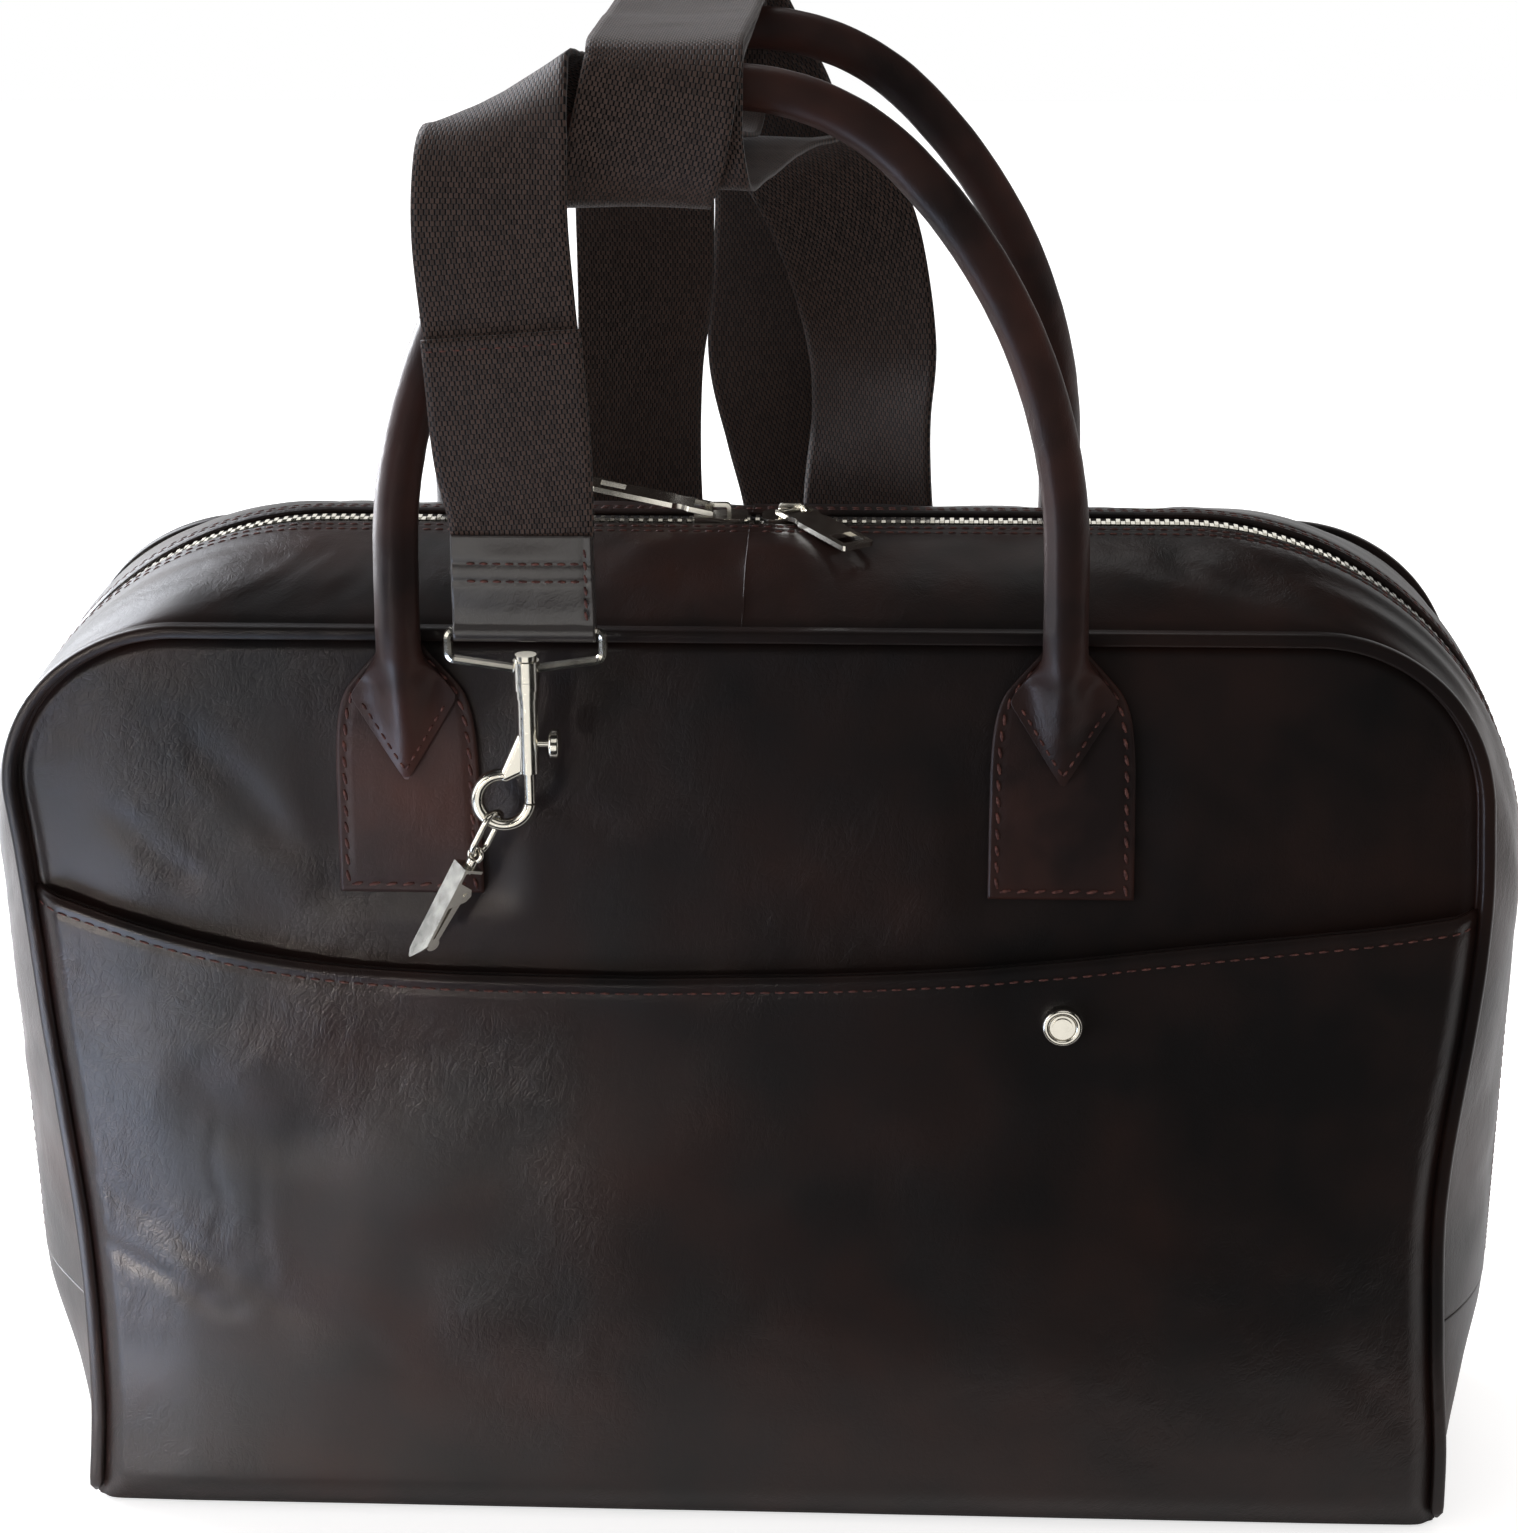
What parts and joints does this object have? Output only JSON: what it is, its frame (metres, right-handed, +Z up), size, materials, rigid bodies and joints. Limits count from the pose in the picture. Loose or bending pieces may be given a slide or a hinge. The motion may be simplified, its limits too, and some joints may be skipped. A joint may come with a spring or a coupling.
{
  "type": "leather briefcase",
  "caption": "Soft leather briefcase with a zip round three sides, an open front pocket, two rolled handles and a webbing shoulder strap with bolt snap hooks.",
  "frame": {"origin": "middle of the base, on the surface it stands on", "axes": "+Z up, front pocket at -Y, +X to the right seen from the front"},
  "size_m": [0.4314, 0.1676, 0.423],
  "materials": {
    "outer_leather": "polished",
    "welt_leather": "polished",
    "webbing": "woven",
    "zip_tape": "woven",
    "lining_cloth": "plain weave",
    "nickel": "polished",
    "zip_metal": "polished",
    "board": "matt",
    "cord_core": "matt"
  },
  "bodies": {
    "bag": {"front_panel": "outer_leather", "back_panel": "outer_leather", "front_pocket": "outer_leather", "base_panel": "outer_leather", "base_board": "board", "lining": "lining_cloth", "piping_front": "welt_leather", "piping_back": "welt_leather", "gusset_front_left": "outer_leather", "gusset_front_right": "outer_leather", "gusset_back_left": "outer_leather", "gusset_back_right": "outer_leather", "side_gusset_left": "outer_leather", "side_gusset_right": "outer_leather", "zip_tape_front": "zip_tape", "zip_tape_back": "zip_tape", "zip_teeth_front": "zip_metal", "zip_teeth_back": "zip_metal", "zip_stops": "zip_metal", "handle_tabs_front": "outer_leather", "handle_tabs_back": "outer_leather", "patches_front": "outer_leather", "patches_back": "outer_leather", "pocket_stud": "nickel", "pocket_stud_washer": "nickel", "strap_webbing": "webbing", "strap_end_front": "outer_leather", "strap_end_rear": "outer_leather"},
    "slider_left": {"slider_left": "nickel"},
    "slider_right": {"slider_right": "nickel"},
    "puller_left": {"puller_left": "nickel"},
    "puller_right": {"puller_right": "nickel"},
    "handle_front": {"handle_front": "outer_leather", "handle_front_core": "cord_core"},
    "handle_back": {"handle_back": "outer_leather", "handle_back_core": "cord_core"},
    "loop_front": {"loop_front": "nickel"},
    "hook_front": {"hook_front": "nickel", "bolt_spring_front": "nickel"},
    "bolt_front": {"bolt_front": "nickel"},
    "loop_rear": {"loop_rear": "nickel"},
    "hook_rear": {"hook_rear": "nickel", "bolt_spring_rear": "nickel"},
    "bolt_rear": {"bolt_rear": "nickel"},
    "clip_link": {"clip_link": "nickel"},
    "clip_swivel": {"clip_swivel": "nickel"},
    "clip_body": {"clip_body": "nickel", "clip_pin": "nickel"},
    "clip_lever": {"clip_lever": "nickel"}
  },
  "joints": [
    {"name": "slider_left_slide", "type": "slide", "parent": "bag", "child": "slider_left", "axis": [-1, 0, 0], "range_m": [0, 0.095], "deforming": ["zip_teeth_front", "zip_teeth_back"]},
    {"name": "slider_right_slide", "type": "slide", "parent": "bag", "child": "slider_right", "axis": [1, 0, 0], "range_m": [0, 0.095], "deforming": ["zip_teeth_front", "zip_teeth_back"]},
    {"name": "puller_left_swing", "type": "hinge", "parent": "slider_left", "child": "puller_left", "pos_m": [-0.01132, 0, 0.28475], "axis": [0, 1, 0], "range_deg": [-8, 100]},
    {"name": "puller_right_swing", "type": "hinge", "parent": "slider_right", "child": "puller_right", "pos_m": [0.01095, 0, 0.28475], "axis": [-0.8192, -0.5736, 0], "range_deg": [0, 110]},
    {"name": "handle_front_tilt", "type": "hinge", "parent": "bag", "child": "handle_front", "pos_m": [0, -0.0617, 0.27], "axis": [-1, 0, 0], "range_deg": [0, 14], "deforming": ["strap_webbing"]},
    {"name": "handle_back_tilt", "type": "hinge", "parent": "bag", "child": "handle_back", "pos_m": [0, 0.0617, 0.27], "axis": [1, 0, 0], "range_deg": [0, 14], "deforming": ["strap_webbing"]},
    {"name": "loop_front_swing", "type": "hinge", "parent": "bag", "child": "loop_front", "pos_m": [-0.056, -0.07, 0.271], "axis": [1, 0, 0], "range_deg": [-80, 6]},
    {"name": "hook_front_swivel", "type": "hinge", "parent": "loop_front", "child": "hook_front", "pos_m": [-0.056, -0.07, 0.2602], "axis": [0, 0, 1], "range_deg": [-20, 200]},
    {"name": "bolt_front_slide", "type": "slide", "parent": "hook_front", "child": "bolt_front", "axis": [0, 0, 1], "range_m": [0, 0.006], "stiffness_N_per_m": 250, "springref_m": -0.004, "deforming": ["bolt_spring_front"]},
    {"name": "loop_rear_swing", "type": "hinge", "parent": "bag", "child": "loop_rear", "pos_m": [-0.04, 0.072, 0.186], "axis": [1, 0, 0], "range_deg": [-2, 80]},
    {"name": "hook_rear_swivel", "type": "hinge", "parent": "loop_rear", "child": "hook_rear", "pos_m": [-0.04, 0.072, 0.1752], "axis": [0, 0, 1], "continuous": true},
    {"name": "bolt_rear_slide", "type": "slide", "parent": "hook_rear", "child": "bolt_rear", "axis": [0, 0, 1], "range_m": [0, 0.006], "stiffness_N_per_m": 250, "springref_m": -0.004, "deforming": ["bolt_spring_rear"]},
    {"name": "clip_link_swing", "type": "hinge", "parent": "hook_front", "child": "clip_link", "pos_m": [-0.06632, -0.07, 0.21737], "axis": [0.891, 0, -0.454], "range_deg": [-50, 15]},
    {"name": "clip_swivel_swing", "type": "hinge", "parent": "clip_link", "child": "clip_swivel", "pos_m": [-0.07104, -0.07, 0.20811], "axis": [0.4455, 0.866, -0.227], "range_deg": [-15, 15]},
    {"name": "clip_turn", "type": "hinge", "parent": "clip_swivel", "child": "clip_body", "pos_m": [-0.07277, -0.07, 0.20472], "axis": [0.454, 0, 0.891], "continuous": true},
    {"name": "clip_lever_swing", "type": "hinge", "parent": "clip_body", "child": "clip_lever", "pos_m": [-0.07577, -0.06929, 0.19727], "axis": [-0.63, 0.7071, 0.321], "range_deg": [-70, 0]}
  ]
}
